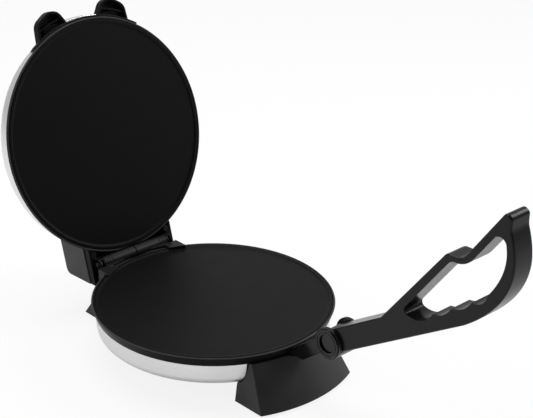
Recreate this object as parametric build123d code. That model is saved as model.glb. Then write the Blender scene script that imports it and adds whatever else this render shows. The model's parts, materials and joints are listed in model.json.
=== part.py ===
"""Electric roti maker: two hinged, heated round plates on a footed base, with a folding pressing handle.

Units are millimetres. +Z is up, +X is to the right, and -Y is the front, where the handle is. The origin
is on the table, under the axis of the cooking plates. Heights of the base are given as depths below its
rim plane, and heights of the lid as depths behind its own rim plane, so that both halves share profiles.
The lid is drawn shut and then swung open; the handle is drawn out to the front, on its stop.
"""
import os
from math import cos, radians, sin, sqrt, tan

from build123d import *

# ---------------------------------------------------------------- driving dimensions
# cooking plates
plate_rim_r = 129.3
plate_rim_w = 3.3
plate_lip_t = 1.6
plate_inner_slope_w = 1.2
cook_face_drop = 1.2
plate_flange_t = 4.2
plate_t = 7.0

# bezels
plate_gap = 0.3
bezel_lip_w = 2.4
bezel_draft = 3.4
bezel_h = 10.2
lid_lip_h = 3.0
lid_lip_draft = 0.8
bezel_wall = 1.8
bezel_top_chamfer = 0.8
ledge_t = 3.0
ledge_reach = 18.0
ledge_screw_inset = 4.5

# heating elements
element_ring_r = 84.0
element_tube_r = 3.2
element_gap_deg = 36.0
element_leg_len = 11.0
terminal_r = 1.6
terminal_len = 6.0

# reflectors and the parts they hold
reflector_inset = 4.5
reflector_t = 0.8
reflector_fix_r = 52.0
reflector_fix_count = 3
thermostat_r = 8.0
thermostat_h = 7.0
strap_t = 0.8
strap_w = 9.0
strap_len = 44.0
strap_fix_pitch = 34.0
fuse_r = 2.2
fuse_len = 26.0
fuse_y = -34.0

# silver skin and the black pan
skin_t = 0.8
skin_inset = 0.34
skin_slope = 0.096
skin_corner_r = 9.5
skin_depth = 35.3
skin_top_gap = 0.4
pan_skin_gap = 0.2
pan_wall = 2.5
pan_neck_inset = 3.0
pan_boss_r = 4.6
pan_boss_h = 10.0
vent_len = 26.0
vent_w = 4.0
vent_count = 5
vent_pitch = 13.0

# legs and feet
foot_r = 8.0
foot_h = 3.0
foot_peg_r = 3.0
foot_peg_len = 5.0
foot_from_leg_side = 19.0
foot_from_leg_back = 44.0
leg_h = 44.8
leg_over_bezel = 2.8
leg_flare = 28.2
leg_top_half_w = 54.6
leg_foot_half_w = 65.0
leg_plan_depth = 39.4
leg_back_bow = 14.5
leg_wall = 3.0
leg_edge_r = 1.5
leg_screw_x = 30.0
leg_screw_from_back = 12.0
rear_leg_shelf_depth = 22.4
panel_leg_gap = 1.0
panel_end_x = 57.0
panel_corner_r = 5.0

# lid
lid_gap = 4.0
lid_skin_inset = 2.0
lid_skin_slope = 0.154
lid_corner_r = 20.0
lid_depth = 33.0

# hinge
hinge_behind_bezel = 5.8
hinge_over_rim = 2.8
lid_open_deg = 106.9
barrel_r = 6.8
barrel_half_len = 44.0
barrel_split = 1.5
barrel_room = 0.8
barrel_groove = 0.5
barrel_groove_w = 1.4
barrel_groove_pitch = 3.6
barrel_groove_count = 3
hinge_pin_r = 2.5
lug_t = 7.5
lug_r = 7.2
lug_side_gap = 0.5
lug_pocket_wall = 2.0
clip_r = 4.6
clip_t = 1.0
clip_groove = 0.3
saddle_in_x = 38.0
saddle_out_x = 56.5
saddle_t = 2.3
saddle_seat_gap = 0.2
saddle_over_plate = 4.4
hinge_tongue_half_w = 34.0
tongue_screw_xs = (9.0, 26.0)

# rear block of the lid: how far each place lies before (-) or behind (+) the hinge axis
block_half_w = 60.0
block_wall = 2.6
block_front = -53.8
block_front_h = 37.6
block_crest = -30.8
block_back_top = 9.7
block_back_foot = 22.6
block_h = 49.5
block_corner_r = 8.0
block_step = 0.9
block_step_h = 8.5
block_mouth_half = 50.4
block_mouth_front = -19.8
block_mouth_back = 15.2
block_screw_x = 52.5
block_screw = -12.4
block_screw_post_r = 4.0
block_post_h = 12.0
tab_top = 1.8
tab_t = 2.8
tab_half_w = 3.5

# front bracket of the lid: its plan reaches out from the bezel's edge
ear_plan = [(21.3, -8.0), (21.3, 0.5, 6.0), (31.0, 15.6, 13.5), (43.5, 15.6, 14.0),
            (59.5, 5.5, 13.0), (61.2, -17.0)]
ear_front = 3.0
ear_back = 13.0
ear_wall = 2.4
ear_edge_r = 2.0
ear_rib_out = 8.2
ear_rib_t = 1.8
flange_half_deg = 31.8
flange_t = 2.0
flange_lip_h = 4.6
flange_h = 15.0
flange_low_t = 1.4
grip_tongue_in_x = 24.0
grip_tongue_out_x = 50.0
front_plate_half_w = 20.6
front_plate_t = 3.2
front_plate_low = 5.0
front_plate_high = 17.5
front_slot_len = 16.0
front_slot_h = 2.4

# indicator lights
lens_r = 4.0
lens_dome_h = 1.2
lens_pitch = 26.0
board_t = 1.6
board_post_r = 3.0

# handle bracket and pivot
pivot_reach = 55.0
pivot_over_rim = 28.9
fold_max_deg = 128.0
cheek_r = 16.8
cheek_t = 3.2
cheek_bridge_drop = 4.0
cheek_groove = 0.7
cheek_groove_w = 0.9
boss_r = 15.2
boss_t = 1.6
boss_edge = 0.5
boss_ring_r = 12.9
boss_ring_w = 0.9
boss_ring = 0.6
cap_r = 9.7
cap_t = 1.2
cap_recess = 2.2
pivot_pin_r = 4.0
bracket_tongue_t = 2.8
bracket_tongue_past_ledge = 2.0
bracket_screw_x = 9.0
cradle_clear = 0.3

# handle: shank, then its outline as (out, up) from the pivot
handle_w = 26.0
hub_r = 12.6
hub_clear = 0.7
shank_half = 12.3
shank_deg = 32.2
handle_edge_r = 1.8
handle_corner_rs = (8.0, 8.0, 11.0, 4.5, 4.5, 14.0)
loop_corner_r = 5.0
bush_wall = 2.0
handle_side_gap = 0.4
handle_kink = (62.7, 54.0)
thumb_low = (135.6, 149.6)
thumb_high = (153.3, 149.9)
tip_back = (195.6, 210.6)
tip_front = (202.4, 206.0)
tip_root = (202.4, 194.5)
grip_back = [(207.6, 178.0), (209.4, 158.0), (204.8, 138.0), (185.7, 108.4)]
grip_end = (160.4, 86.2)
finger_ridges = [(88.8, 73.0), (125.3, 83.4), (145.8, 97.8), (167.8, 112.7), (184.8, 127.0)]
finger_depths = [8.2, 3.4, 3.4, 4.6]
loop_back = [(196.6, 148.5), (200.4, 165.0), (199.4, 178.5)]
loop_top = [(194.4, 185.4), (186.6, 183.8)]
loop_under_thumb = [(164.8, 153.3), (157.2, 147.0), (148.0, 144.2), (142.6, 143.5), (138.2, 139.9)]

# screws
screw_r = 1.5
screw_head_r = 3.2
screw_head_h = 1.8
screw_hole_clear = 0.15

# cord gland
gland_r = 7.0
gland_bore_r = 3.6
gland_flange_r = 9.5
gland_flange_t = 2.0
gland_len = 15.0
gland_depth = 42.0
gland_inset = 3.1
gland_boss_r = 11.0
gland_boss_len = 18.5
cord_passage_r = 4.2
cord_passage_from_leg_back = 21.0

# terminal block and leads
terminal_block_len = 34.0
terminal_block_w = 14.0
terminal_block_h = 11.0
terminal_block_from_element = 12.1
lead_r = 1.1
lead_bend_r = 2.5
lead_entry_x = 11.0

# clearances
fit = 0.1
running = 0.05
loose = 0.3

# ---------------------------------------------------------------- derived places
cook_face_r = plate_rim_r - plate_rim_w
plate_flange_r = cook_face_r
bezel_r = plate_rim_r + plate_gap + bezel_lip_w
bezel_foot_r = bezel_r - bezel_draft
ledge_in_r = bezel_r - ledge_reach
ledge_screw_r = ledge_in_r + ledge_screw_inset
plate_body_r = ledge_in_r - 1.5
reflector_r = plate_body_r - reflector_inset
skin_top_r = bezel_foot_r - skin_inset
skin_low_r = skin_top_r - skin_slope * (skin_depth - skin_corner_r - bezel_h)
pan_neck_r = bezel_foot_r - pan_neck_inset
terminal_block_y = element_ring_r * cos(radians(element_gap_deg / 2)) + terminal_block_from_element
leg_top_r = bezel_foot_r + leg_over_bezel
leg_foot_r = leg_top_r + leg_flare
leg_back_y = leg_top_r - leg_plan_depth
leg_screw_y = leg_back_y + leg_screw_from_back
foot_x = leg_foot_half_w - foot_from_leg_side
foot_y = leg_back_y + foot_from_leg_back
cord_passage_y = leg_back_y + cord_passage_from_leg_back
gland_face_y = leg_foot_r - gland_inset
gland_boss_start_y = gland_face_y - gland_boss_len
lid_skin_top_r = bezel_r - lid_skin_inset
lid_skirt_r = lid_skin_top_r - lid_skin_slope * bezel_h - skin_t - pan_skin_gap
hinge_y = bezel_r + hinge_behind_bezel
saddle_in_r = plate_rim_r - saddle_over_plate
bracket_tongue_in_r = ledge_in_r - bracket_tongue_past_ledge
pivot_y = -bezel_r - pivot_reach
rim_z = foot_h + leg_h + bezel_h
leg_foot_z = foot_h
lid_rim_z = rim_z + lid_gap
hinge_z = rim_z + hinge_over_rim
pivot_z = rim_z + pivot_over_rim
ledge_top = plate_flange_t
ledge_bottom = ledge_top + ledge_t
tongue_top = ledge_bottom + fit
tongue_bottom = tongue_top + bracket_tongue_t
pan_floor_out = skin_depth - skin_t - pan_skin_gap
pan_floor_in = pan_floor_out - pan_wall
reflector_top = plate_t + element_tube_r + fit
reflector_bottom = reflector_top + reflector_t
hinge_axis = Axis((0, hinge_y, hinge_z), (1, 0, 0))

os.makedirs("parts", exist_ok=True)


# ---------------------------------------------------------------- helpers
def height(depth, lid=False):
    """Height of a depth measured from the rim plane of the base, or of the shut lid."""
    return lid_rim_z + depth if lid else rim_z - depth


def corner_face(corners):
    """Face with straight sides; a third number in a corner rounds it to that radius."""
    face = make_face(Polyline(*[corner[:2] for corner in corners], close=True))
    for corner in corners:
        if len(corner) == 3:
            spot = min(face.vertices(), key=lambda v: (Vector(*v) - Vector(*corner[:2])).length)
            face = fillet(spot, corner[2])
    return face


def turned(corners, lid=False):
    """Body of revolution about the plate axis from (radius, depth[, rounding]) corners."""
    points = [(corner[0], height(corner[1], lid), *corner[2:]) for corner in corners]
    return revolve(Plane.XZ * corner_face(points), Axis.Z)


def upright(radius, low, high, x=0.0, y=0.0):
    """Vertical cylinder between two heights."""
    return Pos(x, y, (low + high) / 2) * Cylinder(radius, abs(high - low))


def crosswise(radius, left, right, y, z):
    """Cylinder along X between two places."""
    return Pos((left + right) / 2, y, z) * Rot(0, 90, 0) * Cylinder(radius, abs(right - left))


def block(x0, x1, y0, y1, z0, z1):
    """Box between two corners."""
    centre = ((x0 + x1) / 2, (y0 + y1) / 2, (z0 + z1) / 2)
    return Pos(*centre) * Box(abs(x1 - x0), abs(y1 - y0), abs(z1 - z0))


def side_prism(corners, x0, x1):
    """Prism along X from (y, z[, rounding]) corners."""
    return Pos(x0, 0, 0) * extrude(Plane.YZ * corner_face(corners), amount=x1 - x0)


def screw(x, y, seat, tip, head_side):
    """Pan-head screw along Z: the head stands from its seat towards head_side (+1 up, -1 down)."""
    head = upright(screw_head_r, seat, seat + head_side * screw_head_h, x, y)
    cross = block(x - 2, x + 2, y - 0.35, y + 0.35, seat + head_side * 0.8, seat + head_side * 3)
    cross += block(x - 0.35, x + 0.35, y - 2, y + 2, seat + head_side * 0.8, seat + head_side * 3)
    return head - cross + upright(screw_r, seat, tip, x, y)


def screw_hole(x, y, low, high):
    """Clearance hole for one screw."""
    return upright(screw_r + screw_hole_clear, low, high, x, y)


def opened(part):
    """Swing a piece of the shut lid to the open rest position."""
    return part.rotate(hinge_axis, -lid_open_deg)


def save(name, part):
    """Write one node."""
    export_step(part, "parts/" + name + ".step")


# ---------------------------------------------------------------- heated plates, the same in both halves
def plate(lid=False):
    """Cast plate with a raised rim, a groove for the element and bosses for the reflector."""
    body = turned([(0, cook_face_drop), (cook_face_r - plate_inner_slope_w, cook_face_drop, 3),
                   (cook_face_r, 0, 0.6), (plate_rim_r, 0, 0.8), (plate_rim_r, plate_lip_t),
                   (plate_flange_r, plate_lip_t), (plate_flange_r, plate_flange_t),
                   (plate_body_r, plate_flange_t), (plate_body_r, plate_t, 0.8), (0, plate_t)], lid)
    groove = Pos(0, 0, height(plate_t, lid)) * Torus(element_ring_r, element_tube_r + fit)
    body -= groove
    for x, y in reflector_fixings():
        body += upright(pan_boss_r, height(plate_t - 0.5, lid), height(reflector_top, lid), x, y)
        body -= screw_hole(x, y, height(plate_t - 3.5, lid), height(reflector_top + 1, lid))
    return body


def reflector_fixings():
    """Places of the screws that hold the reflector."""
    turns = [90 + index * 360 / reflector_fix_count for index in range(reflector_fix_count)]
    return [(reflector_fix_r * cos(radians(turn)), reflector_fix_r * sin(radians(turn))) for turn in turns]


def element_ends():
    """Places of the two ends of the heated ring, at the rear."""
    half = element_gap_deg / 2
    return [(element_ring_r * sin(radians(side * half)), element_ring_r * cos(radians(half)))
            for side in (-1, 1)]


def heating_element(lid=False):
    """Tubular element: an open ring in the plate's groove, with two legs and their terminal pins."""
    level = height(plate_t, lid)
    away = 1 if lid else -1
    ring = Rot(0, 0, 90 + element_gap_deg / 2) * Torus(element_ring_r, element_tube_r,
                                                     major_angle=360 - element_gap_deg)
    body = Pos(0, 0, level) * ring
    for x, y in element_ends():
        body += Pos(x, y, level) * Sphere(element_tube_r)
        leg_end = level + away * element_leg_len
        body += upright(element_tube_r, level, leg_end, x, y)
        body += upright(terminal_r, leg_end, leg_end + away * terminal_len, x, y)
    return body


def reflector(lid=False):
    """Pressed steel disc that holds the element against the plate."""
    top, bottom = height(reflector_top, lid), height(reflector_bottom, lid)
    disc = turned([(thermostat_r + 1, reflector_top), (reflector_r, reflector_top),
                   (reflector_r, reflector_bottom), (thermostat_r + 1, reflector_bottom)], lid)
    for x, y in reflector_fixings():
        disc -= screw_hole(x, y, bottom, top)
    for x, y in element_ends():
        disc -= upright(element_tube_r + 0.6, bottom, top, x, y)
    for side in (-1, 1):
        disc -= screw_hole(side * strap_fix_pitch / 2, 0, bottom, top)
    return disc


def reflector_screws(lid=False):
    """Screws that hold the reflector to the plate."""
    side = 1 if lid else -1
    seat = height(reflector_bottom, lid)
    return Compound([screw(x, y, seat, height(plate_t - 3, lid), side) for x, y in reflector_fixings()])


def thermostat(lid=False):
    """Bimetal disc thermostat that presses on the middle of the plate."""
    base = plate_t + fit
    body = turned([(0, base), (thermostat_r, base, 0.6), (thermostat_r, base + thermostat_h),
                   (0, base + thermostat_h)], lid)
    low = height(base + thermostat_h - 1.4, lid)
    high = height(base + thermostat_h - 0.6, lid)
    for side in (-1, 1):
        body += block(-3.1, 3.1, side * (thermostat_r - 2), side * (thermostat_r + 8), low, high)
    return body


def thermostat_strap(lid=False):
    """Sprung strap that holds the thermostat, screwed to the reflector."""
    top = plate_t + fit + thermostat_h + fit
    bottom = top + strap_t
    foot = (strap_len / 2, reflector_bottom)
    body = block(-thermostat_r - 3, thermostat_r + 3, -strap_w / 2, strap_w / 2,
                 height(top, lid), height(bottom, lid))
    for side in (-1, 1):
        inner, outer = side * (thermostat_r + 2.2), side * foot[0]
        body += block(inner, inner + side * strap_t, -strap_w / 2, strap_w / 2,
                      height(reflector_bottom, lid), height(bottom, lid))
        pad = block(inner, outer, -strap_w / 2, strap_w / 2,
                    height(reflector_bottom, lid), height(reflector_bottom + strap_t, lid))
        hole = screw_hole(side * strap_fix_pitch / 2, 0, height(reflector_bottom - 1, lid),
                          height(bottom, lid))
        body += pad - hole
        rivet_seat = height(reflector_bottom + strap_t, lid)
        head_top = rivet_seat + (1 if lid else -1)
        body += upright(screw_head_r, rivet_seat, head_top, side * strap_fix_pitch / 2, 0)
        body += upright(screw_r, rivet_seat, height(reflector_top, lid), side * strap_fix_pitch / 2, 0)
    return body


def thermal_fuse(lid=False):
    """Thermal cut-out in its sleeve, with the clip that holds it to the reflector."""
    centre = height(reflector_bottom + fuse_r + 0.75, lid)
    body = crosswise(fuse_r, -fuse_len / 2, fuse_len / 2, fuse_y, centre)
    body += crosswise(0.6, -fuse_len / 2 - 5, fuse_len / 2 + 5, fuse_y, centre)
    clip_low, clip_high = height(reflector_bottom, lid), height(reflector_bottom + 0.7, lid)
    body += block(-5, 5, fuse_y - 7, fuse_y + 7, clip_low, clip_high)
    ring = crosswise(fuse_r + 0.7, -5, 5, fuse_y, centre) - crosswise(fuse_r - 0.1, -6, 6, fuse_y, centre)
    return body + ring


# ---------------------------------------------------------------- bezels
def bezel_ring(lid=False):
    """Black ring with a ledge under the plate's flange: a deep skirt on the base, on the lid a lip
    with its skirt inside the silver cover."""
    inner, seat = plate_rim_r + plate_gap, plate_flange_r + plate_gap
    foot = lid_skirt_r if lid else bezel_foot_r
    lip = [(bezel_r - lid_lip_draft, lid_lip_h), (lid_skirt_r, lid_lip_h)] if lid else []
    return turned([(inner, bezel_top_chamfer / 2), (bezel_r - bezel_top_chamfer, 0),
                   (bezel_r, bezel_top_chamfer), *lip, (foot, bezel_h), (foot - bezel_wall, bezel_h),
                   (foot - bezel_wall, ledge_bottom), (ledge_in_r, ledge_bottom), (ledge_in_r, ledge_top),
                   (seat, ledge_top), (seat, plate_lip_t + fit), (inner, plate_lip_t + fit)], lid)


def lower_bezel():
    """Ring of the base, with windows for the two brackets and holes for their screws."""
    ring = bezel_ring()
    low, high = height(bezel_h + 1), height(ledge_bottom)
    half = core_half() + loose
    ring -= block(-half, half, -bezel_r - 1, -bracket_tongue_in_r, low, high)
    half = hinge_tongue_half_w + loose
    ring -= block(-half, half, bracket_tongue_in_r, bezel_r + 1, low, high)
    for x, y in bracket_screw_places() + hinge_tongue_screw_places():
        ring -= screw_hole(x, y, height(ledge_bottom + 1), height(ledge_top - 1))
    return ring - barrel_recess()


def barrel_recess():
    """Room round the hinge barrels and the lid's ears in the rear of both rings."""
    reach = lug_outer_x() + 1
    return crosswise(lug_r + barrel_room, -reach, reach, hinge_y, hinge_z)


def lug_outer_x():
    """Outer face of the lid's hinge lugs."""
    return barrel_half_len + lug_side_gap + lug_t


def upper_bezel():
    """Ring of the lid, with two tabs outside it that the rear block is screwed to."""
    ring = bezel_ring(True)
    low, high = height(tab_top, True), height(tab_top + tab_t, True)
    for x, y in block_screw_places():
        tab = upright(block_screw_post_r, low, high, x, y)
        tab += block(x - tab_half_w, x + tab_half_w, y - block_screw_post_r - 4, y, low, high)
        ring += tab - upright(bezel_r - 1.2, height(-1, True), height(lid_lip_h, True)) - lid_skin(-fit)
        ring -= screw_hole(x, y, low - 1, high + 1)
    for side in (-1, 1):
        ring -= grip_tongue_room(side)
    for x, y in grip_screw_places():
        ring -= screw_hole(x, y, height(ledge_top - 1, True), height(ledge_bottom + 1, True))
    return ring - barrel_recess()


def grip_tongue_room(side):
    """Window that one tongue of the front bracket passes in through."""
    return block(side * (grip_tongue_in_x - loose), side * (grip_tongue_out_x + loose), -bezel_r - 1,
                 -ledge_in_r + 24, height(ledge_bottom, True), height(tongue_bottom + fit, True))


# ---------------------------------------------------------------- places of the screws
def on_ledge(x):
    """Distance from the middle plane at which a screw at x meets the bezel's ledge."""
    return sqrt(ledge_screw_r ** 2 - x ** 2)


def bracket_screw_places():
    """Screws of the handle bracket, up into the bezel's ledge."""
    return [(side * bracket_screw_x, -on_ledge(bracket_screw_x)) for side in (-1, 1)]


def hinge_tongue_screw_places():
    """Screws of the hinge bracket's tongue, up into the bezel's ledge."""
    return [(side * x, on_ledge(x)) for side in (-1, 1) for x in tongue_screw_xs]


def block_screw_places():
    """Screws of the lid's rear block, through the tabs of the lid's bezel."""
    return [(side * block_screw_x, hinge_y + block_screw) for side in (-1, 1)]


def grip_screw_places():
    """Screws of the lid's front bracket, into the bezel's ledge."""
    middle = (grip_tongue_in_x + grip_tongue_out_x) / 2
    return [(side * middle, -on_ledge(middle)) for side in (-1, 1)]


def leg_screw_places(front):
    """Screws of one leg, up into the pan's bosses."""
    return [(side * leg_screw_x, (-1 if front else 1) * leg_screw_y) for side in (-1, 1)]


# ---------------------------------------------------------------- base shell
def skin_outline(inset, top, top_r, slope, corner_r, depth):
    """Closed bowl outline of a silver skin, moved in by inset, as (radius, depth) corners."""
    corner = (top_r - slope * (depth - top) - inset, depth - inset, corner_r - inset)
    return [(0, top), (top_r - inset, top), corner, (0, depth - inset)]


def base_skin(inset, top=bezel_h + skin_top_gap):
    """Solid bowl of the base, from the bezel's foot down."""
    return turned(skin_outline(inset, top, skin_top_r, skin_slope, skin_corner_r, skin_depth))


def base_pan():
    """Black tub: wall, floor, screw bosses and vents, open at the top."""
    outer = base_skin(skin_t + pan_skin_gap)
    outer += turned([(0, ledge_bottom + fit), (pan_neck_r, ledge_bottom + fit),
                     (pan_neck_r, bezel_h + skin_top_gap + 1), (0, bezel_h + skin_top_gap + 1)])
    low_r = skin_low_r - skin_t - pan_skin_gap - pan_wall - 2
    inner = turned([(0, 0), (pan_neck_r - pan_wall, 0), (low_r, pan_floor_in, skin_corner_r - pan_wall),
                    (0, pan_floor_in)])
    pan = outer - inner
    for half, sign in ((core_half(), -1), (hinge_tongue_half_w, 1)):
        pan -= block(-half - loose, half + loose, sign * (ledge_in_r - 9), sign * (bezel_r + 8),
                     height(tongue_bottom + fit), height(0))
    for front in (True, False):
        for x, y in leg_screw_places(front):
            pan += upright(pan_boss_r, height(pan_floor_in + 0.5), height(pan_floor_in - pan_boss_h), x, y)
            pan -= screw_hole(x, y, height(pan_floor_out + 1), height(pan_floor_in - pan_boss_h - 1))
    for index in range(vent_count):
        x = (index - (vent_count - 1) / 2) * vent_pitch
        slot = Pos(x, 0, height(pan_floor_out + 1)) * extrude(Rot(0, 0, 90) * SlotOverall(vent_len, vent_w),
                                                              amount=pan_wall + 2)
        pan -= slot
    return pan - upright(cord_passage_r, height(pan_floor_out + 1), height(pan_floor_in - 1),
                         0, cord_passage_y)


def leg_wedge(gap, top, low):
    """Prism along Y as wide as the legs at each height, with a gap added each side."""
    slope = (leg_foot_half_w - leg_top_half_w) / leg_h
    top_half = leg_top_half_w - slope * (bezel_h - top) + gap
    low_half = leg_top_half_w + slope * (low - bezel_h) + gap
    shape = Polyline((-top_half, height(top)), (top_half, height(top)), (low_half, height(low)),
                     (-low_half, height(low)), close=True)
    return extrude(Plane.XZ * make_face(shape), amount=200, both=True)


def side_panels():
    """Silver skin of the base, cut away where the legs stand."""
    skin = base_skin(0) - base_skin(skin_t)
    skin -= upright(skin_low_r - skin_corner_r - 2, height(skin_depth + 1), height(0))
    low, reach = height(skin_depth), leg_foot_r + 1
    skin -= block(-panel_end_x, panel_end_x, -reach, reach, low - 1, height(0))
    for side in (-1, 1):
        inner, centre = side * panel_end_x, side * (panel_end_x + panel_corner_r)
        corner = block(inner, centre, -reach, reach, low - 1, low + panel_corner_r)
        round_end = Rot(90, 0, 0) * Cylinder(panel_corner_r, 2 * reach + 2)
        skin -= corner - Pos(centre, 0, low + panel_corner_r) * round_end
    left, right = sorted(skin.solids(), key=lambda solid: solid.center().X)
    return left, right


def panel_room(grow):
    """Space beside a leg that the side panels fill, grown towards the leg."""
    reach, inner, outer = leg_foot_r + 1, panel_end_x - grow, leg_foot_half_w + 1
    low, top = height(skin_depth) - grow, height(0)
    sides = block(-outer, -inner, -reach, reach, low, top) + block(inner, outer, -reach, reach, low, top)
    return base_skin(-grow, bezel_h) & sides


# ---------------------------------------------------------------- legs and feet
def leg_form(inset, top_inset, low_inset):
    """Flared leg block at the front, moved in by inset on its sides."""
    top, low = bezel_h + fit + top_inset, bezel_h + leg_h - low_inset
    slope = (leg_foot_r - leg_top_r) / leg_h
    cone = turned([(0, top), (leg_top_r + slope * (top - bezel_h) - inset, top),
                   (leg_top_r + slope * (low - bezel_h) - inset, low), (0, low)])
    bow = (leg_foot_half_w ** 2 + leg_back_bow ** 2) / (2 * leg_back_bow)
    back = upright(bow - inset, height(low + 1), height(top - 1), 0, -leg_back_y - bow)
    return cone & leg_wedge(-inset, top, low) & back


def leg(front):
    """Hollow flared leg that hugs the pan; screws pass up through its roof, feet plug into its sole."""
    pan_room = base_skin(skin_t + pan_skin_gap - fit)
    neck_room = upright(bezel_foot_r - 1.2, height(bezel_h + 1), height(bezel_h - 1))
    body = leg_form(0, 0, 0) - pan_room - neck_room
    body = fillet(body.edges().filter_by(lambda edge: upright_edge(edge)), leg_edge_r)
    body -= panel_room(panel_leg_gap)
    roof = base_skin(skin_t + pan_skin_gap - fit - leg_wall)
    body -= leg_form(leg_wall, leg_wall, leg_wall) - roof - panel_room(panel_leg_gap + leg_wall)
    for x, y in leg_screw_places(True):
        body -= screw_hole(x, y, height(skin_depth + leg_wall + 1), height(skin_depth - 3))
        body -= upright(screw_head_r + 0.8, leg_foot_z - 1, leg_foot_z + leg_wall + 1, x, y)
    for x in (-foot_x, foot_x):
        body -= upright(foot_peg_r + fit, leg_foot_z - 1, leg_foot_z + leg_wall + 1, x, -foot_y)
    if front:
        return body
    body = Rot(0, 0, 180) * body
    body -= block(-leg_foot_half_w, leg_foot_half_w, leg_back_y - 30, leg_foot_r + 30,
                  height(rear_leg_shelf_depth), height(0))
    body += gland_axis_cylinder(gland_boss_r, gland_boss_start_y, gland_face_y)
    body -= gland_axis_cylinder(gland_boss_r + loose, gland_face_y, gland_face_y + 12)
    body -= upright(cord_passage_r, height(skin_depth + leg_wall + 1), height(skin_depth - 3),
                    0, cord_passage_y)
    return body - gland_axis_cylinder(gland_r + fit, gland_boss_start_y - 1, gland_face_y + 1)


def upright_edge(edge):
    """True for the near-vertical outer corners of a leg."""
    low, high = edge.start_point(), edge.end_point()
    tall = abs(low.Z - high.Z) > leg_h * 0.6
    return tall and abs(low.X) > leg_top_half_w - 3 and abs(high.X) > leg_top_half_w - 3


def gland_axis_cylinder(radius, y0, y1):
    """Cylinder along Y on the cord's axis."""
    return Pos(0, (y0 + y1) / 2, height(gland_depth)) * Rot(90, 0, 0) * Cylinder(radius, abs(y1 - y0))


def foot(x, y):
    """Rubber foot: round pad with a peg pushed into the leg."""
    pad = upright(foot_r, 0, leg_foot_z, x, y)
    peg = upright(foot_peg_r, leg_foot_z, leg_foot_z + foot_peg_len, x, y)
    return pad + peg


def leg_screws():
    """Screws that hold both legs to the pan, four of them."""
    seat, tip = height(skin_depth + leg_wall - skin_t - pan_skin_gap + fit), height(pan_floor_in - 6)
    places = leg_screw_places(True) + leg_screw_places(False)
    return Compound([screw(x, y, seat, tip, -1) for x, y in places])


# ---------------------------------------------------------------- hinge
def base_hinge_bracket():
    """Two barrels on a web that hooks under the bezel, with a saddle over the rim at each end."""
    rim, low = rim_z, height(tongue_bottom)
    body = side_prism([(bezel_foot_r - 6, low), (hinge_y - 2, low), (hinge_y + 5.4, rim - 1, 2),
                       (hinge_y, hinge_z), (bezel_foot_r - 6, hinge_z)], -barrel_half_len, barrel_half_len)
    ring_room = turned([(0, -8), (bezel_r + loose, -8), (bezel_r + loose, bezel_h + 1), (0, bezel_h + 1)])
    body -= ring_room
    rim_room = turned([(0, -saddle_seat_gap), (bezel_r + loose, -saddle_seat_gap),
                       (bezel_r + loose, bezel_h + 1), (0, bezel_h + 1)])
    top, back = rim + saddle_seat_gap + saddle_t, hinge_y - lug_r - barrel_room
    for side in (-1, 1):
        saddle = block(side * saddle_in_x, side * saddle_out_x, back - ledge_reach, back, low, top)
        saddle -= upright(saddle_in_r, low, top)
        neck = block(side * saddle_in_x, side * barrel_half_len, back - 1, hinge_y, low + 4, top)
        body += saddle + neck - rim_room
        body += barrel(side)
    half = hinge_tongue_half_w
    tongue = block(-half, half, bracket_tongue_in_r, bezel_r + 2, low, height(tongue_top))
    body += tongue - upright(bracket_tongue_in_r, low - 1, height(0))
    body -= block(-barrel_split / 2, barrel_split / 2, hinge_y - 4, hinge_y + 12, rim - 20, rim + 20)
    body -= crosswise(hinge_pin_r + running, -lug_outer_x(), lug_outer_x(), hinge_y, hinge_z)
    for x, y in hinge_tongue_screw_places():
        body -= screw_hole(x, y, low - 1, height(tongue_top) + 1)
    return body


def barrel(side):
    """One hinge barrel, ringed with grooves at its outer end."""
    body = crosswise(barrel_r, side * barrel_split / 2, side * barrel_half_len, hinge_y, hinge_z)
    for index in range(barrel_groove_count):
        x = side * (barrel_half_len - barrel_groove_pitch * (index + 0.7))
        ring = crosswise(barrel_r + 1, x - barrel_groove_w / 2, x + barrel_groove_w / 2, hinge_y, hinge_z)
        body -= ring - crosswise(barrel_r - barrel_groove, x - barrel_groove_w, x + barrel_groove_w,
                                 hinge_y, hinge_z)
    return body


def base_hinge_screws():
    """Screws up through the hinge bracket's tongue into the bezel's ledge."""
    seat, tip = height(tongue_bottom), height(ledge_top + 0.4)
    return Compound([screw(x, y, seat, tip, -1) for x, y in hinge_tongue_screw_places()])


def clip_x():
    """Middle of each retaining clip."""
    return barrel_half_len + lug_side_gap + lug_t / 2


def hinge_pin():
    """Steel pin through the barrels and lugs, grooved for its clips."""
    reach = lug_outer_x() + 0.6
    pin = crosswise(hinge_pin_r, -reach, reach, hinge_y, hinge_z)
    for side in (-1, 1):
        x = side * clip_x()
        collar = crosswise(hinge_pin_r + 1, x - clip_t / 2 - 0.1, x + clip_t / 2 + 0.1, hinge_y, hinge_z)
        pin -= collar - crosswise(hinge_pin_r - clip_groove, x - 2, x + 2, hinge_y, hinge_z)
    return pin


def hinge_pin_clips():
    """Retaining clips in the pin's grooves, inside the lugs' pockets."""
    clips = []
    for side in (-1, 1):
        x = side * clip_x()
        ring = crosswise(clip_r, x - clip_t / 2, x + clip_t / 2, hinge_y, hinge_z)
        bore = crosswise(hinge_pin_r - clip_groove + running, x - 2, x + 2, hinge_y, hinge_z)
        gap = block(x - 2, x + 2, hinge_y - 0.8, hinge_y + 0.8, hinge_z - clip_r - 1, hinge_z - 1.8)
        clips.append(ring - bore - gap)
    return Compound(clips)


# ---------------------------------------------------------------- handle bracket and pivot
def core_half():
    """Half the inner width of the handle bracket."""
    return handle_w / 2 + handle_side_gap


def cheek_out_x():
    """Outer face of the bracket's cheeks."""
    return core_half() + cheek_t


def boss_out_x():
    """Face of the raised rings on the cheeks."""
    return cheek_out_x() + boss_t


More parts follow.
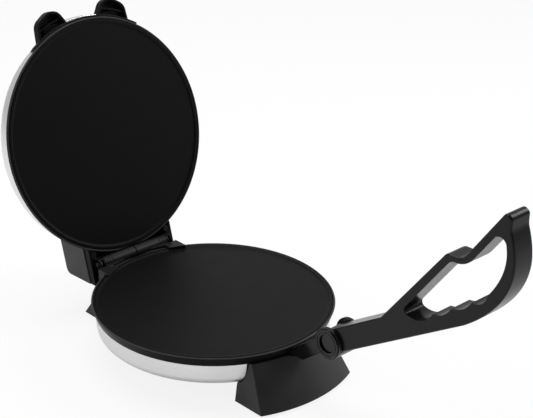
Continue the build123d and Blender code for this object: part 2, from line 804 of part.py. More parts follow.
def shank_room(fold_deg):
    """Space that the shank needs at one fold angle."""
    clear = shank_half + cradle_clear
    bar = block(-core_half() - 1, core_half() + 1, -pivot_reach, 0, -clear, clear)
    return Pos(0, pivot_y, pivot_z) * Rot(-shank_deg - fold_deg, 0, 0) * bar


def hub_disc(side):
    """Disc of one cheek round the pivot: grooved round its edge, with a raised and ringed face."""
    inner, outer, face = side * core_half(), side * cheek_out_x(), side * boss_out_x()
    middle = (inner + outer) / 2
    disc = crosswise(cheek_r, inner, outer, pivot_y, pivot_z)
    groove = crosswise(cheek_r + 1, middle - cheek_groove_w / 2, middle + cheek_groove_w / 2,
                       pivot_y, pivot_z)
    disc -= groove - crosswise(cheek_r - cheek_groove, inner, outer, pivot_y, pivot_z)
    boss = crosswise(boss_r, outer, face, pivot_y, pivot_z)
    disc += chamfer(boss.edges().sort_by(Axis.X)[-1 if side > 0 else 0], boss_edge)
    ring = crosswise(boss_ring_r, face - side * boss_ring, face + side, pivot_y, pivot_z)
    return disc - (ring - crosswise(boss_ring_r - boss_ring_w, outer, face + 2 * side, pivot_y, pivot_z))


def handle_bracket():
    """Forked bracket: tongue under the bezel, two cheeks at the pivot and a cradle the shank rests on."""
    low, rim = height(tongue_bottom), rim_z
    core = side_prism([(-bezel_foot_r, low), (-bezel_r - 2, low), (-bezel_r - 9, rim - 7),
                       (-bezel_r - 19, rim - 7, 2), (pivot_y + 12, rim + 12), (pivot_y, rim + 12),
                       (pivot_y, rim + 16), (pivot_y + 15, rim + 27), (-bezel_r - 1, rim - 1)],
                      -core_half(), core_half())
    arm_face = [(-bezel_r - 1, rim - 5), (-bezel_r - 9, rim - 1.5), (-bezel_r - 23, rim - 1.5, 4),
                (pivot_y + 10, rim + 14), (pivot_y, rim + 30), (pivot_y + 10, rim + 31),
                (-bezel_r - 1, rim - 0.6)]
    past, over = boss_out_x() + 1, cheek_r + 1
    hub_room = crosswise(hub_r + hub_clear, -past, past, pivot_y, pivot_z)
    ring = crosswise(cheek_r, -core_half(), core_half(), pivot_y, pivot_z) - hub_room
    ring -= block(-past, past, pivot_y - over, pivot_y + over, pivot_z - cheek_bridge_drop, pivot_z + over)
    body = core - hub_room + ring
    body -= shank_room(0) + shank_room(fold_max_deg)
    for side in (-1, 1):
        inner, outer = side * core_half(), side * cheek_out_x()
        cheek = side_prism(arm_face, min(inner, outer), max(inner, outer)) + hub_disc(side)
        cap_seat = side * (boss_out_x() - cap_recess - cap_t)
        cheek -= crosswise(cap_r + fit, cap_seat, side * (boss_out_x() + 1), pivot_y, pivot_z)
        body += cheek
    body -= turned([(0, -1), (bezel_r + loose, -1), (bezel_r + loose, tongue_top), (0, tongue_top)])
    body += block(-core_half(), core_half(), -bracket_tongue_in_r, -bezel_r - 1, low, height(tongue_top))
    body -= crosswise(pivot_pin_r + running, -past, past, pivot_y, pivot_z)
    for x, y in bracket_screw_places():
        body -= screw_hole(x, y, low - 1, height(tongue_top) + 1)
    return body


def handle_bracket_screws():
    """Two screws up through the tongue into the bezel's ledge."""
    seat, tip = height(tongue_bottom), height(ledge_top + 0.4)
    return Compound([screw(x, y, seat, tip, -1) for x, y in bracket_screw_places()])


def pivot_pin():
    """Steel pin that the handle turns on."""
    reach = boss_out_x() - cap_recess - cap_t - fit
    return crosswise(pivot_pin_r, -reach, reach, pivot_y, pivot_z)


def pivot_cap(side):
    """Round cap pressed into the ring of one cheek."""
    outer = side * (boss_out_x() - cap_recess)
    cap = crosswise(cap_r, outer - side * cap_t, outer, pivot_y, pivot_z)
    return chamfer(cap.edges().sort_by(Axis.X)[-1 if side > 0 else 0], 0.5)


# ---------------------------------------------------------------- handle
def handle_outline():
    """Outer outline from the shank's kink round the loop, as (out, up) from the pivot."""
    top = Polyline(handle_kink, thumb_low, thumb_high, tip_back, tip_front, tip_root)
    return top, Spline(tip_root, *grip_back, grip_end)


def handle_loop():
    """Edges of the finger opening, with a scallop for each finger."""
    edges = []
    for start, end, sag in zip(finger_ridges, finger_ridges[1:], finger_depths):
        along = Vector(*end) - Vector(*start)
        middle = (Vector(*start) + Vector(*end)) * 0.5 + Vector(along.Y, -along.X).normalized() * sag
        edges.append(ThreePointArc(start, (middle.X, middle.Y), end))
    thumb = loop_under_thumb
    edges.append(Spline(finger_ridges[-1], *loop_back))
    edges.append(ThreePointArc(loop_back[-1], *loop_top))
    edges.append(Line(loop_top[-1], thumb[0]))
    edges.append(ThreePointArc(*thumb[:3]))
    edges.append(ThreePointArc(*thumb[2:]))
    edges.append(Line(thumb[-1], finger_ridges[0]))
    return edges


def shank_corner(along, across):
    """Point on the shank's line: along it from the pivot and across it, as (out, up)."""
    turn = radians(shank_deg)
    return (along * cos(turn) - across * sin(turn), along * sin(turn) + across * cos(turn))


def handle_frame():
    """D-shaped pressing handle: shank, thumb notch, finger loop and round hub."""
    top, bow = handle_outline()
    under = Polyline(grip_end, shank_corner(0, -shank_half), shank_corner(0, shank_half), handle_kink)
    face = make_face([*top.edges(), *bow.edges(), *under.edges()])
    corners = (handle_kink, thumb_low, thumb_high, tip_back, tip_front, tip_root)
    for spot, radius in zip(corners, handle_corner_rs):
        face = rounded_at(face, spot, radius)
    loop = rounded_at(make_face(handle_loop()), finger_ridges[0], loop_corner_r)
    profile = face + Circle(hub_r) - loop
    plane = Plane(origin=(0, pivot_y, pivot_z), x_dir=(0, -1, 0), z_dir=(-1, 0, 0))
    body = extrude(plane * profile, amount=handle_w / 2, both=True)
    body = fillet(handle_rim_edges(body), handle_edge_r)
    return body - crosswise(pivot_pin_r + bush_wall + fit, -30, 30, pivot_y, pivot_z)


def rounded_at(face, spot, radius):
    """Face with the corner nearest to a spot rounded."""
    return fillet(min(face.vertices(), key=lambda v: (Vector(*v) - Vector(*spot)).length), radius)


def handle_rim_edges(body):
    """Edges round the outside of the handle's two faces."""
    faces = [body.faces().sort_by(Axis.X)[0], body.faces().sort_by(Axis.X)[-1]]
    return [edge for face in faces for edge in face.outer_wire().edges()]


def handle_bush():
    """Flanged bush that lines the hub and runs on the pin."""
    reach = handle_w / 2
    outer = crosswise(pivot_pin_r + bush_wall, -reach, reach, pivot_y, pivot_z)
    return outer - crosswise(pivot_pin_r + running, -reach - 1, reach + 1, pivot_y, pivot_z)


# ---------------------------------------------------------------- lid
def lid_skin(inset):
    """Solid bowl of the shut lid above its bezel."""
    return turned(skin_outline(inset, lid_lip_h + skin_top_gap, lid_skin_top_r, lid_skin_slope, lid_corner_r,
                               lid_depth), True)


def lid_room(clear):
    """Everything that the round lid fills, with a clearance, for what is fitted round it."""
    foot, lip_r = lid_lip_h + skin_top_gap, bezel_r - lid_lip_draft + clear
    bezel = turned([(0, -0.5), (bezel_r + clear, -0.5), (bezel_r + clear, bezel_top_chamfer),
                    (lip_r, lid_lip_h + clear), (lip_r, foot), (0, foot)], True)
    return bezel + lid_skin(-clear)


def lid_shell():
    """Silver cover of the lid, with a window for each tongue of the front bracket."""
    return lid_skin(0) - lid_skin(skin_t) - grip_tongue_room(-1) - grip_tongue_room(1)


def block_profile(inset, floor):
    """Side outline of the rear block, moved in by inset, as (y, depth) corners of the shut lid."""
    front, top = hinge_y + block_front + inset, block_h - inset
    return [(front, floor), (front, block_front_h - inset * 1.3),
            (hinge_y + block_crest + inset * 0.3, top, 6),
            (hinge_y + block_back_top - inset, top, block_corner_r - inset / 2),
            (hinge_y + block_back_foot - inset, floor)]


def lid_prism(corners, half):
    """Prism across the shut lid from (y, depth[, rounding]) corners."""
    return side_prism([(corner[0], height(corner[1], True), *corner[2:]) for corner in corners], -half, half)


def lid_hinge_block():
    """Rear cover of the lid with the two hinge lugs, open below round the barrels."""
    body = lid_prism(block_profile(0, 0), block_half_w)
    cavity = lid_prism(block_profile(block_wall, block_wall), block_half_w - block_wall)
    mouth = block(-block_mouth_half, block_mouth_half, hinge_y + block_mouth_front,
                  hinge_y + block_mouth_back, height(-1, True), height(block_wall + 1, True))
    body = body - cavity - mouth
    for x, y in block_screw_places():
        wall_x = block_half_w - 1 if x > 0 else 1 - block_half_w
        low, high = height(tab_top + tab_t + fit, True), height(tab_top + tab_t + block_post_h, True)
        body += upright(block_screw_post_r, low, high, x, y) + block(x, wall_x, y - 2, y + 2, low, high)
    for side in (-1, 1):
        inner = side * (barrel_half_len + lug_side_gap)
        outer = side * lug_outer_x()
        body += crosswise(lug_r, inner, outer, hinge_y, hinge_z)
        body += block(inner, outer, hinge_y - lug_r, hinge_y + lug_r, hinge_z, height(block_wall + 8, True))
        body += block(inner, outer, hinge_y + lug_r - 2, hinge_y + block_back_foot - 4,
                      height(0, True), height(block_wall + 8, True))
        body -= block(inner + side * lug_pocket_wall, outer - side * lug_pocket_wall, hinge_y - clip_r - 0.5,
                      hinge_y + clip_r + 0.5, hinge_z - 20, hinge_z + clip_r + 0.5)
        body -= block(side * (block_half_w - block_step), side * (block_half_w + 1),
                      hinge_y + block_front - 1, hinge_y + block_back_foot + 1,
                      height(-1, True), height(block_step_h, True))
        body += upright(board_post_r, height(board_depth() + board_t + fit, True),
                        height(block_h - 1, True), side * board_post_x(), lens_y())
        body -= upright(lens_r + fit, height(board_depth(), True), height(block_h + 1, True),
                        side * lens_pitch / 2, lens_y())
    body -= crosswise(hinge_pin_r + running, -lug_outer_x() - 1, lug_outer_x() + 1, hinge_y, hinge_z)
    body -= lid_room(fit + 0.05)
    for x, y in block_screw_places():
        low, high = height(-1, True), height(tab_top + tab_t + fit, True)
        body -= upright(block_screw_post_r + loose, low, high, x, y)
        body -= block(x - tab_half_w - loose, x + tab_half_w + loose, y - block_screw_post_r - 6, y,
                      low, high)
        body -= upright(screw_r, high - 1, height(tab_top + tab_t + block_post_h - 2, True), x, y)
    return body


def lens_y():
    """Distance of the indicator lenses behind the plate axis."""
    return hinge_y + (block_crest + block_back_top) / 2 - 3


def board_depth():
    """Depth of the indicator board's near face."""
    return block_h - block_wall - 5


def board_post_x():
    """Place of the posts that carry the indicator board."""
    return lens_pitch / 2 + 9


def lid_hinge_screws():
    """Screws through the tabs of the lid's bezel into the rear block's posts."""
    seat, tip = height(tab_top, True), height(tab_top + tab_t + block_post_h - 3, True)
    return Compound([screw(x, y, seat, tip, -1) for x, y in block_screw_places()])


def indicator_lens(side):
    """Domed lens of one indicator light."""
    x = side * lens_pitch / 2
    stem = upright(lens_r, height(board_depth() + board_t + 0.2, True), height(block_h, True), x, lens_y())
    radius = (lens_r ** 2 + lens_dome_h ** 2) / (2 * lens_dome_h)
    ball = Pos(x, lens_y(), height(block_h + lens_dome_h - radius, True)) * Sphere(radius)
    return stem + (ball & upright(lens_r, height(block_h, True), height(block_h + 5, True), x, lens_y()))


def indicator_board():
    """Small circuit board under the lenses."""
    half = board_post_x() + 4
    return block(-half, half, lens_y() - 6, lens_y() + 6, height(board_depth(), True),
                 height(board_depth() + board_t, True))


def ear_face(inset):
    """Plan of the right grip ear, moved in by inset."""
    plan = corner_face([(x, -bezel_r - reach, *rounding) for x, reach, *rounding in ear_plan])
    return offset(plan, amount=-inset) if inset else plan


def grip_ear():
    """Right-hand ear: hollow towards the rim, with one rib in its hollow."""
    low, high = height(ear_front, True), height(ear_back, True)
    body = Pos(0, 0, low) * extrude(ear_face(0), amount=high - low)
    back_edges = [edge for edge in body.faces().sort_by(Axis.Z)[-1].edges() if edge.center().Y < -bezel_r - 2]
    body = fillet(back_edges, ear_edge_r)
    hollow = Pos(0, 0, low - 1) * extrude(ear_face(ear_wall), amount=high - low - ear_wall + 1)
    body -= hollow - upright(bezel_r + ear_wall, low - 2, high + 1)
    rib = upright(bezel_r + ear_rib_out + ear_rib_t, low + 2, high - 1)
    rib -= upright(bezel_r + ear_rib_out, low, high)
    return body + (rib & (Pos(0, 0, low + 2) * extrude(ear_face(1), amount=high - low - 3)))


def lid_grip_bracket():
    """Front bracket of the lid: a band round the rim with two ears that the handle passes between."""
    inner = ledge_in_r + 8
    low_r = lid_skin_top_r - lid_skin_slope * flange_h + flange_low_t
    band = turned([(inner, 0.8), (bezel_r + flange_t, 0.8, 0.6), (bezel_r + flange_t, flange_lip_h),
                   (low_r, flange_h, 0.5), (inner, flange_h)], True)
    reach = 200 * tan(radians(flange_half_deg))
    wedge = make_face(Polyline((0, 0), (reach, -200), (-reach, -200), close=True))
    band &= Pos(0, 0, height(0, True) - 5) * extrude(wedge, amount=40)
    ear = grip_ear()
    body = band + ear + mirror(ear, Plane.YZ)
    gap = front_plate_half_w + 0.2
    body -= block(-gap, gap, -bezel_r - 30, -ledge_in_r, height(front_plate_low - 0.2, True),
                  height(30, True))
    body -= lid_room(fit)
    low, high = height(tongue_top, True), height(tongue_bottom, True)
    for side in (-1, 1):
        tongue = block(side * grip_tongue_in_x, side * grip_tongue_out_x, -bezel_r - 1, -ledge_in_r + 24,
                       low, high)
        body += tongue - upright(bracket_tongue_in_r, low - 1, high + 1)
    for x, y in grip_screw_places():
        body -= screw_hole(x, y, low - 1, high + 1)
    return body


def lid_grip_screws():
    """Screws that hold the front bracket's tongues to the ledge of the lid's bezel."""
    seat, tip = height(tongue_bottom, True), height(ledge_top + 0.4, True)
    return Compound([screw(x, y, seat, tip, 1) for x, y in grip_screw_places()])


def lid_front_plate():
    """Silver plate between the ears, with a slot."""
    plate_body = turned([(ledge_in_r + 8, front_plate_low), (bezel_r + front_plate_t, front_plate_low, 0.8),
                         (bezel_r + front_plate_t, front_plate_high, 1.2),
                         (ledge_in_r + 8, front_plate_high)], True)
    half = front_plate_half_w
    plate_body &= block(-half, half, -bezel_r - 30, -ledge_in_r, height(0, True), height(30, True))
    middle = height((front_plate_low + front_plate_high) / 2, True)
    slot = block(-front_slot_len / 2, front_slot_len / 2, -bezel_r - 30, -bezel_r - 1.2,
                 middle - front_slot_h / 2, middle + front_slot_h / 2)
    return plate_body - slot - lid_room(fit)


# ---------------------------------------------------------------- electrics in the base
def cord_gland():
    """Flanged grommet in the rear leg that the supply cord passes through."""
    tube = gland_axis_cylinder(gland_r, gland_face_y - gland_len, gland_face_y)
    tube += gland_axis_cylinder(gland_flange_r, gland_face_y, gland_face_y + gland_flange_t)
    return tube - gland_axis_cylinder(gland_bore_r, gland_face_y - gland_len - 1, gland_face_y + 5)


def terminal_block():
    """Screw terminal block on the pan's floor."""
    floor = height(pan_floor_in)
    half, depth = terminal_block_len / 2, terminal_block_w
    body = block(-half, half, terminal_block_y, terminal_block_y + depth, floor, floor + terminal_block_h)
    for index in range(3):
        x = (index - 1) * lead_entry_x
        body -= upright(2.4, floor + terminal_block_h - 3, floor + terminal_block_h + 1, x,
                        terminal_block_y + depth / 2)
    return body


def base_leads():
    """Leads from the element's terminals to the terminal block."""
    leads = []
    tip = height(plate_t + element_leg_len + terminal_len)
    level = height(pan_floor_in) + terminal_block_h / 3
    for x, y in element_ends():
        entry = lead_entry_x if x > 0 else -lead_entry_x
        path = FilletPolyline((x, y, tip), (x, y, level), (entry, y + 4, level),
                              (entry, terminal_block_y, level), radius=lead_bend_r)
        leads.append(sweep(Plane(path @ 0, z_dir=path % 0) * Circle(lead_r), path=path))
    return Compound(leads)


# ---------------------------------------------------------------- write every node
def build_parts():
    """All nodes by name."""
    left_panel, right_panel = side_panels()
    feet = {}
    for row, sign_y in (("front", -1), ("rear", 1)):
        for column, sign_x in (("left", -1), ("right", 1)):
            feet["foot_" + row + "_" + column] = foot(sign_x * foot_x, sign_y * foot_y)
    base = {
        "lower_bezel": lower_bezel(), "lower_plate": plate(),
        "lower_heating_element": heating_element(), "lower_reflector": reflector(),
        "lower_reflector_screws": reflector_screws(), "lower_thermostat": thermostat(),
        "lower_thermostat_strap": thermostat_strap(), "lower_thermal_fuse": thermal_fuse(),
        "base_pan": base_pan(), "left_side_panel": left_panel, "right_side_panel": right_panel,
        "front_leg": leg(True), "rear_leg": leg(False), "leg_screws": leg_screws(),
        "base_hinge_bracket": base_hinge_bracket(), "base_hinge_screws": base_hinge_screws(),
        "hinge_pin": hinge_pin(), "hinge_pin_clips": hinge_pin_clips(),
        "handle_bracket": handle_bracket(), "handle_bracket_screws": handle_bracket_screws(),
        "pivot_pin": pivot_pin(), "pivot_cap_left": pivot_cap(-1), "pivot_cap_right": pivot_cap(1),
        "cord_gland": cord_gland(), "terminal_block": terminal_block(), "base_leads": base_leads(),
        **feet,
    }
    lid = {
        "upper_bezel": upper_bezel(), "upper_plate": plate(True),
        "upper_heating_element": heating_element(True), "upper_reflector": reflector(True),
        "upper_reflector_screws": reflector_screws(True), "upper_thermostat": thermostat(True),
        "upper_thermostat_strap": thermostat_strap(True), "upper_thermal_fuse": thermal_fuse(True),
        "lid_shell": lid_shell(), "lid_grip_bracket": lid_grip_bracket(),
        "lid_grip_screws": lid_grip_screws(),
        "lid_front_plate": lid_front_plate(), "lid_hinge_block": lid_hinge_block(),
        "lid_hinge_screws": lid_hinge_screws(), "power_light_lens": indicator_lens(-1),
        "ready_light_lens": indicator_lens(1), "indicator_board": indicator_board(),
    }
    handle = {"handle_frame": handle_frame(), "handle_bush": handle_bush()}
    return {**base, **{name: opened(part) for name, part in lid.items()}, **handle}


for node_name, node_part in build_parts().items():
    save(node_name, node_part)
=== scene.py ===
"""Looks of the electric roti maker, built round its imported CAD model. Metres, +Z up, front towards -Y."""
import json
from math import cos, radians, sin

import bpy
from mathutils import Matrix, Vector


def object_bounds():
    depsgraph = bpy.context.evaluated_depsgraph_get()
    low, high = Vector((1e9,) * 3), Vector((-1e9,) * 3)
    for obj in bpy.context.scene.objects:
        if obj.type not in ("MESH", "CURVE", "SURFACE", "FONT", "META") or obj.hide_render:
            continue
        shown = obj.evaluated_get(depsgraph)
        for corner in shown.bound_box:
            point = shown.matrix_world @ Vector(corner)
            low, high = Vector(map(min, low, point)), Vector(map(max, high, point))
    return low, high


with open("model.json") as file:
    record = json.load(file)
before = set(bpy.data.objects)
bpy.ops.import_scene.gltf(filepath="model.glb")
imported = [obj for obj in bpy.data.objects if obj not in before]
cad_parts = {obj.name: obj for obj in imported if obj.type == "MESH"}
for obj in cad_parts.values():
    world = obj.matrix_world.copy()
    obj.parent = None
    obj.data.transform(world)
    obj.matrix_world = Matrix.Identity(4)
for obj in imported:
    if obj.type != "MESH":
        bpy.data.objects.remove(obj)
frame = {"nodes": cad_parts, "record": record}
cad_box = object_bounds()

# ---------------------------------------------------------------- camera
CAMERA_AZIMUTH = radians(-44.0155)
CAMERA_ELEVATION = radians(24.8418)
CAMERA_ROLL = radians(1.2668)
CAMERA_PLACE = (-0.9362, -1.0484, 0.8142)
# millimetres
CAMERA_LENS = 99.26
SENSOR_WIDTH = 36.0

# ---------------------------------------------------------------- studio
FLOOR_SIZE = 30.0
FLOOR_COLOUR = (0.94, 0.94, 0.94, 1.0)
# how much of the floor shows as plain white: to the camera, and in reflections
FLOOR_WHITE_SHARE = 0.86
FLOOR_GLOSS_SHARE = 0.35
# the surround brightens smoothly from its dark to its bright strength towards this side
WORLD_DARK, WORLD_BRIGHT = 0.10, 0.65
BRIGHT_SIDE = (0.74, 0.64, -0.20)
BRIGHT_FROM, BRIGHT_TO = -0.7, 0.8
LAMPS = [
    # name, place, size, watts
    ("overhead_softbox", (0.15, 0.50, 1.75), 1.5, 19.0),
    ("right_softbox", (1.40, -0.65, 1.10), 0.7, 11.5),
    ("left_softbox", (-1.15, 0.40, 0.75), 0.7, 3.6),
]
LAMP_AIM = (0.0, -0.02, 0.12)

# ---------------------------------------------------------------- places on the object, with the lid shut
SLOT_OF = {part["node"]: part["material_slot"] for part in frame["record"]["subparts"]}
HINGE = next(joint for joint in frame["record"]["behaviour"]["joints"] if joint["name"] == "lid_hinge")
LID_OPEN = radians(HINGE["range_deg"][1])
HINGE_PLACE = Vector(HINGE["pos_m"])
BEZEL_RADIUS = cad_box[1][0]
BASE_RIM = 0.058
SHUT_GAP = 0.004
# band of a bezel's outer corner painted lighter as a highlight line: how far in, and how far from the rim's
# face
HIGHLIGHT_BAND_IN = 0.0018
HIGHLIGHT_BAND_DEEP = 0.0009
HIGHLIGHT_BAND_LEVEL = {False: BASE_RIM - HIGHLIGHT_BAND_DEEP, True: BASE_RIM + SHUT_GAP + HIGHLIGHT_BAND_DEEP}
# height of the seam over the dark lower strip of the lid's rear cover
COVER_SEAM = 0.0705

# ---------------------------------------------------------------- shared values of the finishes
BEVEL_SAMPLES = 6
EDGE_LIGHTEN_GAIN = 9.0
EDGE_LIGHTEN_PATCHES = 240.0
TINT_FROM, TINT_TO = 0.35, 0.65
STREAKS_ALONG, STREAKS_ACROSS = 4.0, 2600.0


def make_camera():
    """Camera where the photograph was taken from."""
    back = Vector((sin(CAMERA_AZIMUTH) * cos(CAMERA_ELEVATION),
                   -cos(CAMERA_AZIMUTH) * cos(CAMERA_ELEVATION),
                   sin(CAMERA_ELEVATION)))
    level = (-back).cross(Vector((0, 0, 1))).normalized()
    rise = level.cross(-back)
    right = level * cos(CAMERA_ROLL) + rise * sin(CAMERA_ROLL)
    up = rise * cos(CAMERA_ROLL) - level * sin(CAMERA_ROLL)
    camera = bpy.data.objects.new("camera", bpy.data.cameras.new("camera"))
    camera.data.lens = CAMERA_LENS
    camera.data.sensor_width = SENSOR_WIDTH
    turn = Matrix((right, up, back)).transposed().to_4x4()
    camera.matrix_world = Matrix.Translation(CAMERA_PLACE) @ turn
    bpy.context.scene.collection.objects.link(camera)
    bpy.context.scene.camera = camera


# ---------------------------------------------------------------- node helpers
class Nodes:
    """Short way to build a shader tree."""

    def __init__(self, tree):
        self.tree = tree

    def add(self, kind, **values):
        """New node; keywords set its properties."""
        node = self.tree.nodes.new(kind)
        for name, value in values.items():
            setattr(node, name, value)
        return node

    def link(self, source, target):
        """Wire one socket to another."""
        self.tree.links.new(source, target)

    def math(self, operation, first, second=None):
        """One Math node; either input may be a number or a socket."""
        node = self.add("ShaderNodeMath", operation=operation)
        for socket, value in zip(node.inputs, (first, second)):
            if isinstance(value, (int, float)):
                socket.default_value = value
            elif value is not None:
                self.link(value, socket)
        return node.outputs[0]

    def noise(self, vector, scale, detail=2.0, rough=0.5):
        """Noise value at a scale in features per metre."""
        node = self.add("ShaderNodeTexNoise")
        node.inputs["Scale"].default_value = scale
        node.inputs["Detail"].default_value = detail
        node.inputs["Roughness"].default_value = rough
        self.link(vector, node.inputs["Vector"])
        return node.outputs["Fac"]

    def ramp(self, value, stops):
        """Colour ramp from (position, (r, g, b)) stops."""
        node = self.add("ShaderNodeValToRGB")
        elements = node.color_ramp.elements
        while len(elements) < len(stops):
            elements.new(0.5)
        for element, (position, colour) in zip(elements, stops):
            element.position = position
            element.color = (*colour, 1.0)
        self.link(value, node.inputs["Fac"])
        return node.outputs["Color"]

    def span(self, value, low, high):
        """Map 0..1 to low..high."""
        node = self.add("ShaderNodeMapRange")
        node.inputs["To Min"].default_value = low
        node.inputs["To Max"].default_value = high
        self.link(value, node.inputs["Value"])
        return node.outputs["Result"]

    def mix(self, share, first, second):
        """Mix two colours; share may be a number or a socket."""
        node = self.add("ShaderNodeMix", data_type="RGBA")
        sockets = (node.inputs[0], node.inputs[6], node.inputs[7])
        for socket, value in zip(sockets, (share, first, second)):
            if isinstance(value, bpy.types.NodeSocket):
                self.link(value, socket)
            else:
                socket.default_value = value if isinstance(value, float) else (*value, 1.0)
        return node.outputs[2]


def grey(level):
    """Neutral colour."""
    return (level, level, level)


class Finish:
    """One material: a Principled shader with plain sockets, plus grain, bump, and edge wear with painted
    edge highlights.
    """

    def __init__(self, name, colour, roughness, **sockets):
        self.material = bpy.data.materials.new(name)
        self.material.use_nodes = True
        self.nodes = Nodes(self.material.node_tree)
        self.shader = self.material.node_tree.nodes["Principled BSDF"]
        self.colour = colour
        self.shader.inputs["Base Color"].default_value = (*colour, 1.0)
        self.shader.inputs["Roughness"].default_value = roughness
        for socket, value in sockets.items():
            self.shader.inputs[socket.replace("_", " ")].default_value = value
        self.place = self.nodes.add("ShaderNodeTexCoord").outputs["Object"]
        self.normal = None

    def round_plane(self, lid):
        """Angle, radius and height about the plate's axis; a lid piece is first turned shut."""
        place = self.place
        if lid:
            shift = self.nodes.add("ShaderNodeVectorMath", operation="SUBTRACT")
            shift.inputs[1].default_value = HINGE_PLACE
            self.nodes.link(place, shift.inputs[0])
            turn = self.nodes.add("ShaderNodeVectorRotate", rotation_type="X_AXIS")
            turn.inputs["Angle"].default_value = LID_OPEN
            self.nodes.link(shift.outputs[0], turn.inputs["Vector"])
            back = self.nodes.add("ShaderNodeVectorMath", operation="ADD")
            back.inputs[1].default_value = HINGE_PLACE
            self.nodes.link(turn.outputs[0], back.inputs[0])
            place = back.outputs[0]
        split = self.nodes.add("ShaderNodeSeparateXYZ")
        self.nodes.link(place, split.inputs[0])
        angle = self.nodes.math("ARCTAN2", split.outputs["Y"], split.outputs["X"])
        squares = [self.nodes.math("MULTIPLY", split.outputs[axis], split.outputs[axis]) for axis in "XY"]
        radius = self.nodes.math("SQRT", self.nodes.math("ADD", *squares))
        return angle, radius, split.outputs["Z"]

    def streaks(self, lid):
        """Noise drawn out along circles round the plate's axis."""
        join = self.nodes.add("ShaderNodeCombineXYZ")
        stretches = (STREAKS_ALONG, STREAKS_ACROSS, STREAKS_ACROSS)
        for value, stretch, socket in zip(self.round_plane(lid), stretches, join.inputs):
            self.nodes.link(self.nodes.math("MULTIPLY", value, stretch), socket)
        return self.nodes.noise(join.outputs[0], 1.0, 3.0, 0.6)

    def grain(self, scale, low, high, detail=3.0):
        """Roughness that varies with a noise."""
        value = self.nodes.noise(self.place, scale, detail)
        self.nodes.link(self.nodes.span(value, low, high), self.shader.inputs["Roughness"])
        return self

    def base(self):
        """What the base colour is fed with so far: a socket, or the plain colour."""
        links = self.shader.inputs["Base Color"].links
        return links[0].from_socket if links else self.colour

    def blend(self, share, colour):
        """Base colour mixed towards another colour by a socket's share."""
        self.nodes.link(self.nodes.mix(share, self.base(), colour), self.shader.inputs["Base Color"])

    def tint(self, scale, first, second, detail=2.0):
        """Base colour that drifts between two colours."""
        value = self.nodes.noise(self.place, scale, detail)
        colour = self.nodes.ramp(value, [(TINT_FROM, first), (TINT_TO, second)])
        self.nodes.link(colour, self.shader.inputs["Base Color"])
        return self

    def bump(self, value, strength, distance):
        """Bump from a height value, on top of any bump already there."""
        node = self.nodes.add("ShaderNodeBump")
        node.inputs["Strength"].default_value = strength
        node.inputs["Distance"].default_value = distance
        self.nodes.link(value, node.inputs["Height"])
        if self.normal is not None:
            self.nodes.link(self.normal, node.inputs["Normal"])
        self.normal = node.outputs[0]
        self.nodes.link(self.normal, self.shader.inputs["Normal"])
        return self

    def texture(self, scale, strength, distance, detail=2.0):
        """Fine moulded or sprayed texture."""
        return self.bump(self.nodes.noise(self.place, scale, detail), strength, distance)

    def soft_edges(self, radius):
        """Corners shaded as if rounded, so that they catch the light."""
        node = self.nodes.add("ShaderNodeBevel", samples=BEVEL_SAMPLES)
        node.inputs["Radius"].default_value = radius
        self.normal = node.outputs[0]
        self.nodes.link(self.normal, self.shader.inputs["Normal"])
        return self

    def edge_wear_and_highlight(self, radius, lighter_edge, share):
        """Lighter colour where the surface turns sharply: partly rubbed wear, partly a painted highlight
        along the edge.
        """
        bevel = self.nodes.add("ShaderNodeBevel", samples=BEVEL_SAMPLES)
        bevel.inputs["Radius"].default_value = radius
        plain = self.nodes.add("ShaderNodeNewGeometry")
        agree = self.nodes.add("ShaderNodeVectorMath", operation="DOT_PRODUCT")
        self.nodes.link(bevel.outputs[0], agree.inputs[0])
        self.nodes.link(plain.outputs["Normal"], agree.inputs[1])
        turned = self.nodes.math("SUBTRACT", 1.0, agree.outputs["Value"])
        strong = self.nodes.math("MULTIPLY", turned, EDGE_LIGHTEN_GAIN)
        patchy = self.nodes.math("MULTIPLY", strong, self.nodes.noise(self.place, EDGE_LIGHTEN_PATCHES, 3.0))
        amount = self.nodes.math("MINIMUM", patchy, share)
        self.blend(amount, lighter_edge)
        return self


# ---------------------------------------------------------------- finishes, one function for each material
def nonstick(name):
    """Matt black non-stick coat with a sprayed pebble and faint lighter specks."""
    finish = Finish(name, grey(0.004), 0.46, Specular_IOR_Level=0.09)
    finish.tint(900.0, grey(0.0026), grey(0.0048), 4.0)
    finish.grain(35.0, 0.40, 0.52)
    finish.soft_edges(0.0006)
    return finish.texture(1500.0, 0.16, 0.00006)


def brushed(name, lid):
    """Satin steel sheet, brushed round the plate's axis."""
    finish = Finish(name, (0.74, 0.74, 0.76), 0.30, Metallic=1.0)
    lines = finish.streaks(lid)
    finish.nodes.link(finish.nodes.span(lines, 0.24, 0.40), finish.shader.inputs["Roughness"])
    colour = finish.nodes.ramp(lines, [(0.3, (0.72, 0.72, 0.73)), (0.7, (0.79, 0.79, 0.80))])
    finish.nodes.link(colour, finish.shader.inputs["Base Color"])
    return finish.bump(lines, 0.10, 0.00003)


